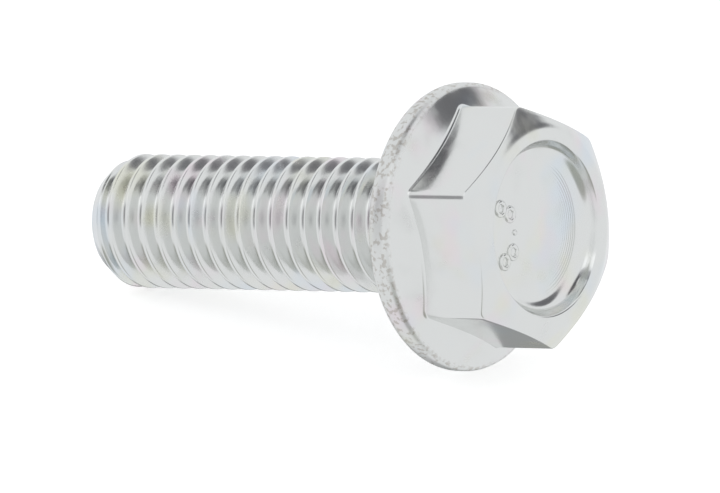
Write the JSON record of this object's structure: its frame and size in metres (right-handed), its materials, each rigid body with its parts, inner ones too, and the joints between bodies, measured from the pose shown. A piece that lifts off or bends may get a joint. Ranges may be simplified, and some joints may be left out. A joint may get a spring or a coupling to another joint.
{
  "type": "hex flange bolt",
  "caption": "Hexagon bolt with a forged flange and an indented head, fully threaded shank and chamfered tip; clamps parts without a separate washer.",
  "frame": {"origin": "centre of the bearing face under the flange, on the bolt axis", "axes": "+Z along the bolt axis from the bearing face to the threaded tip; the head hangs below the origin and the bolt stands on the flat ring of its head; two corners of the hexagon lie on the X axis"},
  "size_m": [0.021, 0.021, 0.0388],
  "materials": {
    "zinc_plated_steel": "bright zinc plate with a faint blue and yellow passivate tint"
  },
  "bodies": {
    "root": {"flange_bolt": "zinc_plated_steel"}
  },
  "joints": []
}
